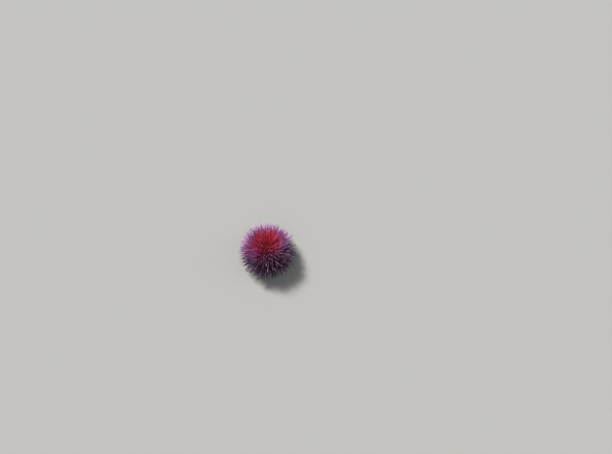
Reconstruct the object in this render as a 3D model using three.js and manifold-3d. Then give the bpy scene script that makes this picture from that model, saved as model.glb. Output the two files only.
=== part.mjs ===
// A purple sea urchin, life size, standing on its tube feet and on the short spines round its mouth.
// The shell is parted into its five narrow and five wide rays, and each ray carries its own spines.
// Units are millimetres, +Z is up, and the origin is on the ground under the middle of the whole urchin.
import * as THREE from "three";
import { mergeVertices } from "three/addons/utils/BufferGeometryUtils.js";
import Module from "manifold-3d";

const wasm = await Module();
wasm.setup();

// Shell
const SHELL_RADIUS = 27;
const DOME_HEIGHT = 18; // from the widest ring up to the top
const BELLY_DEPTH = 10.5; // from the widest ring down to the mouth side
const WIDEST_Z = 17; // the widest ring above the ground
const SHELL_TOP = WIDEST_Z + DOME_HEIGHT;
const SIDE_FULLNESS = 0.9; // under 1 makes the side of the shell fuller than an ellipse
const BELLY_FLATNESS = 0.8; // under 1 makes the mouth side flatter than an ellipse
const SHELL_ROWS = 14;
const SHELL_SEGMENTS = 50;
const RAY_PAIRS = 5;
const NARROW_RAY_ANGLE = THREE.MathUtils.degToRad(29);
const WIDE_RAY_ANGLE = (2 * Math.PI) / RAY_PAIRS - NARROW_RAY_ANGLE;
const GAP = 0.3; // between touching pieces
const SIDE_MARGIN = 0.05; // more than half the gap, between a spine and the side of its ray
const FAR = 80; // beyond the tip of any spine

// Top plates round the vent
const TOP_RADIUS = 5.6;
const TOP_THICKNESS = 1.6;
const TOP_SLOPE = 0.8; // the ring's inner edge above its outer edge
const VENT_RADIUS = 2.3;
const LARGE_PLATE = { at: 4.15, top: 0.95, base: 1.35, height: 1.2, sides: 6, rise: 0.3 };
const SIEVE_PLATE_RISE = 0.55;
const SMALL_PLATE = { at: 4.75, top: 0.45, base: 0.7, height: 1, sides: 5, rise: 0 };
const PLATE_MIDDLE = 0.6; // below the top of the shell
const TOP_SPINE = 9;
const TOP_SPINE_RADIUS = 0.42;
const TOP_SPINE_TURN = 0.3;

// Mouth
const MOUTH_RADIUS = 9.5;
const MOUTH_RECESS = 2.3; // how far the mouth is set up into the belly
const MOUTH_ROOF = WIDEST_Z - BELLY_DEPTH + MOUTH_RECESS;
const MOUTH_SKIN = 1.4;
const LIP_WIDTH = 1.7;
const LIP_DEPTH = 0.8;
const TOOTH_RING_RADIUS = 2.4;
const TOOTH_RING_DEPTH = 1.9;
const TOOTH_LENGTH = 2.4;
const TOOTH_RADIUS = 0.95;
const GILL_LENGTH = 2.6;
const GILL_RADIUS = 0.5;
const MOUTH_FOOT = 1.6;
const MOUTH_FOOT_RADIUS = 0.4;

// Spines
const LONG_SPINE = 23;
const LONG_SPINE_RADIUS = 0.85;
const LONG_SPINE_SIDES = 4;
const SHORT_SPINE_SHARE = 0.55; // of a long spine's length at the same place
const SHORT_SPINE_RADIUS = 0.65;
const SHORT_SPINE_SIDES = 3;
const TOP_SHARE = 0.74; // the length of the spines at the top, as a share of the longest
const TOP_GROWTH = [8, 62]; // the tilts, in degrees, over which they grow to full length
const MOUTH_SHARE = 0.38; // the same at the mouth
const MOUTH_GROWTH = [98, 150];
const LENGTH_RANGE = [0.88, 1.04];
const UPRIGHT_SHARE = 0.6; // how far a spine stands square to the shell, and not straight out from its middle
const SWAY = 0.16; // most that a spine's lean varies, in radians
const TURN = 0.14; // most that a tip is turned round the axis
const ROW_GAP = 2.85;
const COLUMN_GAP = 3.15;
const COLUMN_STAGGER = 0.22; // of a column, between one row and the next
const COLUMN_SCATTER = 0.25;
const EDGE_MARGIN = { top: 0.75, mouth: 1.0 }; // from the first and last rows to the top plates and the mouth
const ROOT_DEPTH = 1.3;
const TIP_RADIUS = 0.3; // the room that a sharp tip keeps
const FLOOR_CLEARANCE = [0.5, 1.7];
const STANDING_TILT = THREE.MathUtils.degToRad(133); // long spines nearer the mouth stand on the ground
const STANDING_SPREAD = 0.35; // how far they splay, as a share of their root's height
const STANDING_SPREAD_RANGE = [1, 1.3];
const STANDING_SPINE_RADIUS = 0.6;
const STANDING_TIP_RADIUS = 0.36;
const TRIMMED_LENGTH = 0.6; // made below the ground and cut off flat

// Tube feet
const FOOT_RADIUS = 0.36;
const FOOT_SIDES = 4;
const FOOT_STEPS = 3;
const FOOT_OFFSET = 0.62; // share of the way from a narrow ray's middle to its side
const FOOT_ROWS = [
  { tilt: THREE.MathUtils.degToRad(118), spread: 6.5 },
  { tilt: THREE.MathUtils.degToRad(129), spread: 4.5 },
];
const FOOT_SPREAD_RANGE = [-0.75, 0.75];
const SUCKER_RADIUS = 1.0;
const SUCKER_THICKNESS = 0.5;

const MATERIALS = {
  wideRay: new THREE.MeshStandardMaterial({ color: 0x7a2a63, roughness: 0.5, metalness: 0 }),
  narrowRay: new THREE.MeshStandardMaterial({ color: 0x8a2f5c, roughness: 0.5, metalness: 0 }),
  topPlates: new THREE.MeshStandardMaterial({ color: 0x9c2340, roughness: 0.55, metalness: 0 }),
  vent: new THREE.MeshStandardMaterial({ color: 0x6d1f38, roughness: 0.45, metalness: 0 }),
  mouthSkin: new THREE.MeshStandardMaterial({ color: 0x6b3146, roughness: 0.4, metalness: 0 }),
  teeth: new THREE.MeshStandardMaterial({ color: 0xe9e2cf, roughness: 0.3, metalness: 0 }),
};

// A repeatable draw for a number, from 0 to 1 or over a range.
function draw(number, [low, high] = [0, 1]) {
  const wave = Math.sin(number * 12.9898 + 4.137) * 43758.5453;
  return low + (high - low) * (wave - Math.floor(wave));
}

// The shell's outline as [distance from the axis, height], for a tilt of 0 at the top and PI at the mouth.
function shellOutline(tilt) {
  const side = Math.max(0, Math.sin(tilt)) ** SIDE_FULLNESS;
  const rise = Math.cos(tilt);
  const height = rise >= 0 ? DOME_HEIGHT * rise : -BELLY_DEPTH * (-rise) ** BELLY_FLATNESS;
  return [SHELL_RADIUS * side, WIDEST_Z + height];
}

// The outward normal of that outline, as [away from the axis, up].
function shellNormal(tilt) {
  const step = 0.002;
  const [r0, z0] = shellOutline(tilt - step);
  const [r1, z1] = shellOutline(tilt + step);
  const length = Math.hypot(r1 - r0, z1 - z0);
  return [(z0 - z1) / length, (r1 - r0) / length];
}

// A three.js geometry as a closed solid, without the slivers that merged corners leave.
function solidFrom(geometry) {
  const bare = geometry.clone();
  bare.deleteAttribute("normal");
  bare.deleteAttribute("uv");
  const merged = mergeVertices(bare, 1e-4);
  const corners = merged.index.array;
  const kept = [];
  for (let i = 0; i < corners.length; i += 3) {
    const [a, b, c] = [corners[i], corners[i + 1], corners[i + 2]];
    if (a !== b && b !== c && c !== a) kept.push(a, b, c);
  }
  return new wasm.Manifold(
    new wasm.Mesh({
      numProp: 3,
      vertProperties: merged.attributes.position.array,
      triVerts: new Uint32Array(kept),
    }),
  );
}

function geometryFrom(solid) {
  const mesh = solid.getMesh();
  const geometry = new THREE.BufferGeometry();
  geometry.setAttribute("position", new THREE.BufferAttribute(mesh.vertProperties, 3));
  geometry.setIndex(new THREE.BufferAttribute(mesh.triVerts, 1));
  geometry.computeVertexNormals();
  return geometry;
}

function fuse(solids) {
  return solids.reduce((joined, solid) => joined.add(solid));
}

function largestBody(solid) {
  return solid.decompose().reduce((a, b) => (b.volume() > a.volume() ? b : a));
}

// A solid turned about the Z axis from [distance, height] corners that run down the outside.
function turned(corners, segments) {
  const profile = corners.map(([r, z]) => new THREE.Vector2(r, z)).reverse();
  const geometry = new THREE.LatheGeometry(profile, segments);
  return solidFrom(geometry.rotateX(Math.PI / 2));
}

// A straight bar that tapers from root to tip.
function bar(root, tip, rootRadius, tipRadius, sides) {
  const along = tip.clone().sub(root);
  const length = along.length();
  const geometry =
    tipRadius > 0
      ? new THREE.CylinderGeometry(tipRadius, rootRadius, length, sides)
      : new THREE.ConeGeometry(rootRadius, length, sides);
  const turn = new THREE.Quaternion().setFromUnitVectors(new THREE.Vector3(0, 1, 0), along.normalize());
  geometry.translate(0, length / 2, 0).applyQuaternion(turn).translate(root.x, root.y, root.z);
  return solidFrom(geometry);
}

// A point at an angle off a ray's middle.
function polar(ray, offset, distance, height) {
  const angle = ray.middle + offset;
  return new THREE.Vector3(distance * Math.cos(angle), distance * Math.sin(angle), height);
}

// The room that a ray's solids have: its wedge of the round, short of its sides by half the gap.
function rayWedge(ray) {
  const start = GAP / 2 / Math.sin(ray.half);
  const end = start + FAR;
  const side = FAR * Math.tan(ray.half);
  const shape = new THREE.Shape();
  shape.moveTo(start, 0);
  shape.lineTo(end, -side);
  shape.lineTo(end, side);
  shape.closePath();
  const geometry = new THREE.ExtrudeGeometry(shape, { depth: 2 * FAR, bevelEnabled: false });
  return solidFrom(geometry.translate(0, 0, -FAR).rotateZ(ray.middle));
}

// Moves a point round the axis, if need be, so that it stays clear of its ray's two sides.
function keptInRay(ray, point, radius) {
  const distance = Math.hypot(point.x, point.y);
  const room = ray.half - Math.asin(Math.min(1, (radius + GAP / 2 + SIDE_MARGIN) / distance));
  const angle = Math.atan2(point.y, point.x) - ray.middle;
  const offset = Math.atan2(Math.sin(angle), Math.cos(angle));
  return polar(ray, THREE.MathUtils.clamp(offset, -room, room), distance, point.z);
}

// How long the spines are at a tilt, as a share of the longest.
function spineShare(tilt) {
  const degrees = THREE.MathUtils.radToDeg(tilt);
  const top = THREE.MathUtils.smoothstep(degrees, ...TOP_GROWTH);
  const mouth = THREE.MathUtils.smoothstep(degrees, ...MOUTH_GROWTH);
  return (TOP_SHARE + (1 - TOP_SHARE) * top) * (1 - (1 - MOUTH_SHARE) * mouth);
}

// The rows of spines down the shell, as tilts an even way apart along its outline.
function spineRows() {
  const rows = [];
  const [start, step] = [0.1, 0.002];
  let walked = ROW_GAP;
  for (let tilt = start; tilt < Math.PI; tilt += step) {
    const [r0, z0] = shellOutline(tilt);
    const [r1, z1] = shellOutline(tilt + step);
    const upper = tilt < Math.PI / 2;
    const edge = upper ? TOP_RADIUS + GAP + EDGE_MARGIN.top : MOUTH_RADIUS + GAP + EDGE_MARGIN.mouth;
    if (r0 < edge) continue;
    walked += Math.hypot(r1 - r0, z1 - z0);
    if (walked >= ROW_GAP) {
      rows.push(tilt);
      walked -= ROW_GAP;
    }
  }
  return rows;
}

// A long spine near the mouth: it splays a little and goes down through the ground, where it is trimmed.
function standingSpine(ray, root, offset, [r, z], seed) {
  const spread = STANDING_SPREAD * z * draw(seed + 0.7, STANDING_SPREAD_RANGE);
  const tip = keptInRay(ray, polar(ray, offset, r + spread, -TRIMMED_LENGTH), STANDING_SPINE_RADIUS);
  return bar(root, tip, STANDING_SPINE_RADIUS, STANDING_TIP_RADIUS, LONG_SPINE_SIDES);
}

// One spine, with its root sunk in the shell. It stands between square to the shell and straight out from
// the shell's middle, and its tip stays above the ground.
function spineAt(ray, tilt, offset, long, seed) {
  const [r, z] = shellOutline(tilt);
  const [out, up] = shellNormal(tilt);
  const standing = tilt > STANDING_TILT && long;
  const thick = long ? LONG_SPINE_RADIUS : SHORT_SPINE_RADIUS;
  const radius = standing ? STANDING_SPINE_RADIUS : thick;
  const surface = keptInRay(ray, polar(ray, offset, r, z), radius);
  const inwards = polar(ray, offset, -out * ROOT_DEPTH, -up * ROOT_DEPTH);
  const root = keptInRay(ray, surface.clone().add(inwards), radius);
  if (standing) return standingSpine(ray, root, offset, [r, z], seed);
  const length = LONG_SPINE * spineShare(tilt) * (long ? 1 : SHORT_SPINE_SHARE) * draw(seed, LENGTH_RANGE);
  const fan = new THREE.Vector2(r, z - WIDEST_Z).normalize().multiplyScalar(1 - UPRIGHT_SHARE);
  const lean = new THREE.Vector2(out, up).multiplyScalar(UPRIGHT_SHARE).add(fan).normalize();
  lean.rotateAround(new THREE.Vector2(), draw(seed + 0.31, [-SWAY / 2, SWAY / 2]));
  const drop = Math.max(lean.y * length, draw(seed + 0.83, FLOOR_CLEARANCE) - z);
  const reach = Math.sqrt(Math.max(0.01, length ** 2 - drop ** 2));
  const turn = draw(seed + 0.57, [-TURN / 2, TURN / 2]);
  const tip = keptInRay(ray, surface.add(polar(ray, offset + turn, reach, drop)), TIP_RADIUS);
  return bar(root, tip, radius, 0, long ? LONG_SPINE_SIDES : SHORT_SPINE_SIDES);
}

// All the spines of a ray, long and short by turns, so that each long one has short ones beside it.
function raySpines(ray) {
  const spines = [];
  spineRows().forEach((tilt, row) => {
    const [r] = shellOutline(tilt);
    const count = Math.max(1, Math.round((2 * ray.half * r) / COLUMN_GAP));
    for (let column = 0; column < count; column += 1) {
      const seed = 1 + column + 40 * row + 1000 * ray.number;
      const scatter = draw(seed + 0.11, [-COLUMN_SCATTER / 2, COLUMN_SCATTER / 2]);
      const place = column + 0.5 + COLUMN_STAGGER * ((row % 2) - 0.5) + scatter;
      const long = (column + row) % 2 === 0 || count < 3;
      spines.push(spineAt(ray, tilt, ray.half * ((2 * place) / count - 1), long, seed));
    }
  });
  return spines;
}

// A tube foot: it leaves the side of a narrow ray, bends down, and stands on its sucker.
function tubeFoot(ray, tilt, offset, spread) {
  const [r, z] = shellOutline(tilt);
  const [out, up] = shellNormal(tilt);
  const sole = keptInRay(ray, polar(ray, offset, r + spread, 0), SUCKER_RADIUS);
  const path = new THREE.CatmullRomCurve3([
    polar(ray, offset, r - out, z - up),
    polar(ray, offset, r + 1.6 * out, z + 1.6 * up),
    sole.clone().setZ(0.45 * z).lerp(polar(ray, offset, r, z), 0.15),
    sole.clone().setZ(0.1 * SUCKER_THICKNESS),
  ]);
  const section = new THREE.Shape();
  for (let side = 0; side < FOOT_SIDES; side += 1) {
    const angle = (2 * Math.PI * side) / FOOT_SIDES;
    const [x, y] = [FOOT_RADIUS * Math.cos(angle), FOOT_RADIUS * Math.sin(angle)];
    if (side === 0) section.moveTo(x, y);
    else section.lineTo(x, y);
  }
  section.closePath();
  const along = { steps: FOOT_STEPS, extrudePath: path, bevelEnabled: false };
  const tube = new THREE.ExtrudeGeometry(section, along);
  const sucker = new THREE.CylinderGeometry(0.7 * SUCKER_RADIUS, SUCKER_RADIUS, SUCKER_THICKNESS, 6);
  sucker.rotateX(Math.PI / 2).translate(sole.x, sole.y, SUCKER_THICKNESS / 2);
  return solidFrom(tube).add(solidFrom(sucker));
}

// A narrow ray's feet, a pair in each row.
function rayFeet(ray) {
  const feet = [];
  FOOT_ROWS.forEach(({ tilt, spread }, row) => {
    [-1, 1].forEach((side) => {
      const more = draw(ray.number + 10 * row + 3 * side + 71, FOOT_SPREAD_RANGE);
      feet.push(tubeFoot(ray, tilt, side * FOOT_OFFSET * ray.half, spread + more));
    });
  });
  return feet;
}

// The shell's wedge with room for the top plates and for the mouth, then its spines and feet.
function makeRay(ray) {
  const outline = [];
  for (let row = 0; row <= SHELL_ROWS; row += 1) {
    const [r, z] = shellOutline((Math.PI * row) / SHELL_ROWS);
    outline.push([row % SHELL_ROWS ? r : 0, z]);
  }
  const topEdge = TOP_RADIUS + GAP;
  const topFloor = SHELL_TOP - TOP_THICKNESS - GAP;
  const topRoom = turned([[0, FAR], [topEdge, FAR], [topEdge, topFloor], [0, topFloor]], 20);
  const mouthEdge = MOUTH_RADIUS + GAP;
  const mouthRoom = turned([[0, MOUTH_ROOF], [mouthEdge, MOUTH_ROOF], [mouthEdge, -1], [0, -1]], 20);
  const whole = turned(outline, SHELL_SEGMENTS);
  const shell = whole.intersect(rayWedge(ray)).subtract(topRoom).subtract(mouthRoom);
  const feet = ray.half < WIDE_RAY_ANGLE / 2 ? rayFeet(ray) : [];
  const underground = new THREE.BoxGeometry(4 * FAR, 4 * FAR, FAR).translate(0, 0, -FAR / 2);
  return largestBody(fuse([shell, ...raySpines(ray), ...feet]).subtract(solidFrom(underground)));
}

// One raised plate of the top ring.
function topPlate(ray, { at, top, base, height, sides, rise }) {
  const place = polar(ray, 0, at, SHELL_TOP - PLATE_MIDDLE + rise);
  const plate = new THREE.CylinderGeometry(top, base, height, sides).rotateX(Math.PI / 2);
  return solidFrom(plate.rotateZ(ray.middle).translate(place.x, place.y, place.z));
}

// The ring of limy plates round the vent: five large ones that slope outwards, one of them the swollen
// sieve plate, five small ones between them, and a few short spines.
function makeTopPlates() {
  const inner = VENT_RADIUS + GAP;
  const crest = SHELL_TOP + 0.3;
  const floor = SHELL_TOP - TOP_THICKNESS;
  const section = [[inner, crest], [TOP_RADIUS, crest - TOP_SLOPE], [TOP_RADIUS, floor], [inner, floor]];
  const pieces = [turned([...section, section[0]], 20)];
  for (let number = 0; number < RAY_PAIRS; number += 1) {
    const wide = { middle: (2 * Math.PI * number) / RAY_PAIRS };
    const rise = number === 0 ? SIEVE_PLATE_RISE : LARGE_PLATE.rise;
    pieces.push(topPlate(wide, { ...LARGE_PLATE, rise }));
    pieces.push(topPlate({ middle: wide.middle + Math.PI / RAY_PAIRS }, SMALL_PLATE));
    [-TOP_SPINE_TURN, TOP_SPINE_TURN].forEach((offset) => {
      const root = polar(wide, offset, 3.9, SHELL_TOP - 1);
      const length = TOP_SPINE * draw(number + 17 * offset + 500, [0.85, 1.15]);
      const tip = polar(wide, offset, 4.6, SHELL_TOP + length);
      pieces.push(bar(root, tip, TOP_SPINE_RADIUS, 0, SHORT_SPINE_SIDES));
    });
  }
  return largestBody(fuse(pieces));
}

// The soft lid round the vent, with its small raised opening off the middle.
function makeVent() {
  const floor = SHELL_TOP - TOP_THICKNESS;
  const crown = [[0, SHELL_TOP + 0.55], [0.9, SHELL_TOP + 0.5], [VENT_RADIUS, SHELL_TOP]];
  const skin = turned([...crown, [VENT_RADIUS, floor], [0, floor]], 15);
  const rim = new THREE.CylinderGeometry(0.4, 0.65, 0.9, 8).rotateX(Math.PI / 2);
  return largestBody(skin.add(solidFrom(rim.translate(0.45, 0.2, SHELL_TOP + 0.6))));
}

// The skin round the mouth, with its lip, ten stubby mouth feet and ten tufts of gills at its edge.
function makeMouthSkin() {
  const top = MOUTH_ROOF - GAP;
  const under = top - MOUTH_SKIN;
  const inner = TOOTH_RING_RADIUS + GAP;
  const edge = [[inner, top], [MOUTH_RADIUS, top], [MOUTH_RADIUS, under]];
  const lip = [[inner + LIP_WIDTH, under - 0.3], [inner + 0.6, under - LIP_DEPTH], [inner, under - 0.3]];
  const pieces = [turned([...edge, ...lip, edge[0]], 20)];
  for (let number = 0; number < 2 * RAY_PAIRS; number += 1) {
    const ray = { middle: (Math.PI * (number + 0.5)) / RAY_PAIRS };
    const aside = number % 2 ? -0.12 : 0.12;
    const [root, sole] = [polar(ray, aside, 5.5, under + 0.6), polar(ray, aside, 5.7, under - MOUTH_FOOT)];
    pieces.push(bar(root, sole, MOUTH_FOOT_RADIUS, 1.5 * MOUTH_FOOT_RADIUS, 5));
    [{ turn: -0.06, length: 0.75 * GILL_LENGTH }, { turn: 0.06, length: GILL_LENGTH }].forEach((lobe) => {
      const base = polar(ray, lobe.turn, 8.1, under + 0.6);
      const tip = polar(ray, 1.6 * lobe.turn, 8.9, under - lobe.length);
      pieces.push(bar(base, tip, GILL_RADIUS, 0.44 * GILL_RADIUS, 3));
    });
  }
  return largestBody(fuse(pieces));
}

// The five tooth tips that close on one another in the middle of the mouth, on the ring that holds them.
function makeTeeth() {
  const top = MOUTH_ROOF - GAP;
  const bottom = top - TOOTH_RING_DEPTH;
  const ring = turned([[0, top], [TOOTH_RING_RADIUS, top], [TOOTH_RING_RADIUS, bottom], [0, bottom]], 20);
  const teeth = [];
  for (let number = 0; number < RAY_PAIRS; number += 1) {
    const ray = { middle: (2 * Math.PI * (number + 0.5)) / RAY_PAIRS };
    const tip = polar(ray, 0, 0.3, bottom - TOOTH_LENGTH);
    teeth.push(bar(polar(ray, 0, 1.35, bottom + 0.8), tip, TOOTH_RADIUS, 0.2, 4));
  }
  return largestBody(fuse([ring, ...teeth]));
}

const urchin = new THREE.Group();
urchin.name = "urchin";

function addNode(name, solid, material) {
  const mesh = new THREE.Mesh(geometryFrom(solid), material);
  mesh.name = name;
  urchin.add(mesh);
}

for (let pair = 0; pair < RAY_PAIRS; pair += 1) {
  const middle = (2 * Math.PI * pair) / RAY_PAIRS;
  const narrow = { number: 2 * pair, middle: middle + Math.PI / RAY_PAIRS, half: NARROW_RAY_ANGLE / 2 };
  const wide = { number: 2 * pair + 1, middle, half: WIDE_RAY_ANGLE / 2 };
  addNode(`narrow_ray_${pair + 1}`, makeRay(narrow), MATERIALS.narrowRay);
  addNode(`wide_ray_${pair + 1}`, makeRay(wide), MATERIALS.wideRay);
}
addNode("top_plates", makeTopPlates(), MATERIALS.topPlates);
addNode("vent", makeVent(), MATERIALS.vent);
addNode("mouth_skin", makeMouthSkin(), MATERIALS.mouthSkin);
addNode("teeth", makeTeeth(), MATERIALS.teeth);

// The scatter of the tips leaves the box a little off the shell's middle, so the whole is set to centre it.
const middle = new THREE.Box3().setFromObject(urchin).getCenter(new THREE.Vector3());
urchin.position.set(-middle.x, -middle.y, 0);

export default urchin;
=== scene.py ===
# A purple sea urchin, life size, set down level on its tube feet and on the spines round its mouth. The
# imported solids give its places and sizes. Everything is in metres with +Z up, and the pieces follow from
# the shell out.
import math

import bpy
import numpy as np
from mathutils import Euler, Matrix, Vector


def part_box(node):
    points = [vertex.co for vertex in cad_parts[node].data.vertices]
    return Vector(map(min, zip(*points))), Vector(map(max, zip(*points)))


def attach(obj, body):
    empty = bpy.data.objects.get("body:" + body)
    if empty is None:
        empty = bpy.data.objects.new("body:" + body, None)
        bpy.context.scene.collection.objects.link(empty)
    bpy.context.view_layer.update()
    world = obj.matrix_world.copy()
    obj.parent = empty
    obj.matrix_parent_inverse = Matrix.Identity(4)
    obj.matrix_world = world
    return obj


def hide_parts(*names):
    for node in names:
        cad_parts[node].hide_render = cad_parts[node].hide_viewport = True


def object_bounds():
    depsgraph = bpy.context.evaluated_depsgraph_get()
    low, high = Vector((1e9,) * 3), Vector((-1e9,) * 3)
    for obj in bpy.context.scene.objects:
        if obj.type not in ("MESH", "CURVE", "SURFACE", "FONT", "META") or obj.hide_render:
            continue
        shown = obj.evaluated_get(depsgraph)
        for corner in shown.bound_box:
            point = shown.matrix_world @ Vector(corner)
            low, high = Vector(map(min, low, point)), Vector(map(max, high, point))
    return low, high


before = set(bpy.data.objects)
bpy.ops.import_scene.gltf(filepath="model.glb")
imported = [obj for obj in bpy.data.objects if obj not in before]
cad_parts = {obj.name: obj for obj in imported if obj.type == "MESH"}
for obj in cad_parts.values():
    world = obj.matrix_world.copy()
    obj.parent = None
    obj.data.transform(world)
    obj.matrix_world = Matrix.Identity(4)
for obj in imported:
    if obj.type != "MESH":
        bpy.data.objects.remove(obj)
cad_low, cad_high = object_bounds()

# Stage: a pale floor, soft light from above and behind, and a camera that gives the urchin the place and the
# width that it has in the photograph. The animal stands level here, so the camera is turned to look down.
PICTURE = np.array([612, 454])
URCHIN_PIXEL = np.array([267.0, 249.0])
URCHIN_PIXELS_ACROSS = 61.0
LENS = 50.0
SENSOR = 36.0
CAMERA_TILT = math.radians(67)
SKY_COLOUR = (0.9, 0.92, 0.95, 1)
SKY_STRENGTH = 0.25
FLOOR_HALF = 40.0
FLOOR_COLOUR = (0.42, 0.42, 0.41, 1)

urchin_middle = (cad_low + cad_high) / 2
urchin_across = cad_high.x - cad_low.x
focal_pixels = PICTURE[0] * LENS / SENSOR
camera_back = Vector((0, -math.cos(CAMERA_TILT), math.sin(CAMERA_TILT)))
camera_data = bpy.data.cameras.new("camera")
camera_data.lens = LENS
camera_data.sensor_width = SENSOR
camera_data.clip_start = 0.01
camera = bpy.data.objects.new("camera", camera_data)
bpy.context.scene.collection.objects.link(camera)
bpy.context.scene.camera = camera
camera.location = urchin_middle + camera_back * urchin_across * focal_pixels / URCHIN_PIXELS_ACROSS
pixels_aside, pixels_below = URCHIN_PIXEL - PICTURE / 2
camera_turn = Euler((math.atan(pixels_below / focal_pixels), math.atan(pixels_aside / focal_pixels), 0))
camera.rotation_mode = "QUATERNION"
camera.rotation_quaternion = (-camera_back).to_track_quat("-Z", "Y") @ camera_turn.to_quaternion()


def soft_light(name, direction, breadth, strength, colour):
    """Even light from that direction, of so many watts to the square metre, from a disc of sky that is so
    many degrees across."""
    sky = bpy.data.lights.new(name, "SUN")
    sky.angle = math.radians(breadth)
    sky.energy = strength
    sky.color = colour
    lamp = bpy.data.objects.new(name, sky)
    lamp.rotation_euler = Vector(direction).to_track_quat("Z", "Y").to_euler()
    bpy.context.scene.collection.objects.link(lamp)


soft_light("key_light", (-0.55, 0.62, 0.8), breadth=14, strength=4.6, colour=(1.0, 0.98, 0.95))
soft_light("side_light", (0.9, 0.1, 0.55), breadth=30, strength=0.25, colour=(0.92, 0.95, 1.0))
soft_light("front_light", (-0.1, -0.8, 0.7), breadth=40, strength=0.15, colour=(1.0, 1.0, 1.0))
world = bpy.data.worlds.new("studio")
world.use_nodes = True
world.node_tree.nodes["Background"].inputs["Color"].default_value = SKY_COLOUR
world.node_tree.nodes["Background"].inputs["Strength"].default_value = SKY_STRENGTH
bpy.context.scene.world = world
bpy.context.scene.view_settings.view_transform = "Standard"


class Wire:
    """A socket of a material's nodes. The signs +, - and * on it add the Math nodes that work them out."""

    def __init__(self, tree, socket=None):
        self.tree = tree
        self.socket = socket

    def node(self, kind, settings, inputs, output=0):
        """Adds a node of that kind: its settings, its ramp's stops, then its inputs. Gives one output."""
        made = self.tree.nodes.new(kind)
        stops = settings.pop("stops", [])
        for name, value in settings.items():
            setattr(made, name, value)
        for number, (place, colour) in enumerate(stops):
            ramp = made.color_ramp.elements
            stop = ramp[number] if number < len(ramp) else ramp.new(place)
            stop.position = place
            stop.color = (*colour, 1)
        for name, value in inputs.items():
            if isinstance(value, Wire):
                self.tree.links.new(value.socket, made.inputs[name])
            else:
                made.inputs[name].default_value = value
        return Wire(self.tree, made.outputs[output] if made.outputs else None)

    def maths(self, operation, *values):
        return self.node("ShaderNodeMath", {"operation": operation}, dict(enumerate(values)))

    def __add__(self, other):
        return self.maths("ADD", self, other)

    def __radd__(self, other):
        return self.maths("ADD", other, self)

    def __sub__(self, other):
        return self.maths("SUBTRACT", self, other)

    def __rsub__(self, other):
        return self.maths("SUBTRACT", other, self)

    def __mul__(self, other):
        return self.maths("MULTIPLY", self, other)

    def __rmul__(self, other):
        return self.maths("MULTIPLY", other, self)

    def step(self, low, high):
        """0 at low, 1 at high, and smooth between. Low may be over high."""
        inputs = {"Value": self, "From Min": low, "From Max": high}
        return self.node("ShaderNodeMapRange", {"interpolation_type": "SMOOTHSTEP"}, inputs)

    def mix(self, first, second):
        """The first colour where this is 0 and the second where it is 1."""
        colours = [(*value, 1) if isinstance(value, tuple) else value for value in (first, second)]
        return self.node("ShaderNodeMix", {"data_type": "RGBA"}, {0: self, 6: colours[0], 7: colours[1]}, 2)

    def ramp(self, stops):
        """The colour between the stops, each a place from 0 to 1 and its colour."""
        return self.node("ShaderNodeValToRGB", {"stops": stops}, {"Fac": self})

    def noise(self, scale, detail=2.0):
        """Cloudy spots about 1 / scale metres apart, by the place on the object, from 0 to 1."""
        place = self.node("ShaderNodeTexCoord", {}, {}, "Object")
        return self.node("ShaderNodeTexNoise", {}, {"Vector": place, "Scale": scale, "Detail": detail})

    def cells(self, scale):
        """How far a place on the object is from the middle of its cell, where cells are 1 / scale metres."""
        place = self.node("ShaderNodeTexCoord", {}, {}, "Object")
        return self.node("ShaderNodeTexVoronoi", {}, {"Vector": place, "Scale": scale}, "Distance")

    def mark(self, name):
        """A number that the mesh holds at each of its points."""
        return self.node("ShaderNodeAttribute", {"attribute_name": name}, {}, "Fac")

    def around_and_along(self):
        """The place on a form's own map: how far round it, and how far from its root to its tip."""
        place = self.node("ShaderNodeUVMap", {"uv_map": "Form"}, {})
        around = self.node("ShaderNodeSeparateXYZ", {}, {"Vector": place})
        return around, Wire(self.tree, around.socket.node.outputs[1])


def new_paint(name):
    """An empty material, and a wire to start its nodes from."""
    paint = bpy.data.materials.new(name)
    paint.use_nodes = True
    paint.node_tree.nodes.clear()
    return paint, Wire(paint.node_tree)


def finish_paint(start, colour, roughness, height=None, depth=0.0, **constants):
    """Joins the colour, the roughness and a bump that is depth metres deep to the shader and the output."""
    inputs = {"Base Color": colour, "Roughness": roughness}
    inputs |= {name.replace("_", " "): value for name, value in constants.items()}
    if height is not None:
        inputs["Normal"] = start.node("ShaderNodeBump", {}, {"Height": height, "Distance": depth})
    shader = start.node("ShaderNodeBsdfPrincipled", {}, inputs)
    start.node("ShaderNodeOutputMaterial", {}, {"Surface": shader})


floor_paint, start = new_paint("floor_paint")
finish_paint(start, FLOOR_COLOUR, 0.9, Specular_IOR_Level=0.1)
floor_mesh = bpy.data.meshes.new("floor")
floor_corners = [(x * FLOOR_HALF, y * FLOOR_HALF, 0) for x, y in ((-1, -1), (1, -1), (1, 1), (-1, 1))]
floor_mesh.from_pydata(floor_corners, [], [(0, 1, 2, 3)])
floor_mesh.materials.append(floor_paint)
floor = bpy.data.objects.new("floor", floor_mesh)
bpy.context.scene.collection.objects.link(floor)

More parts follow.
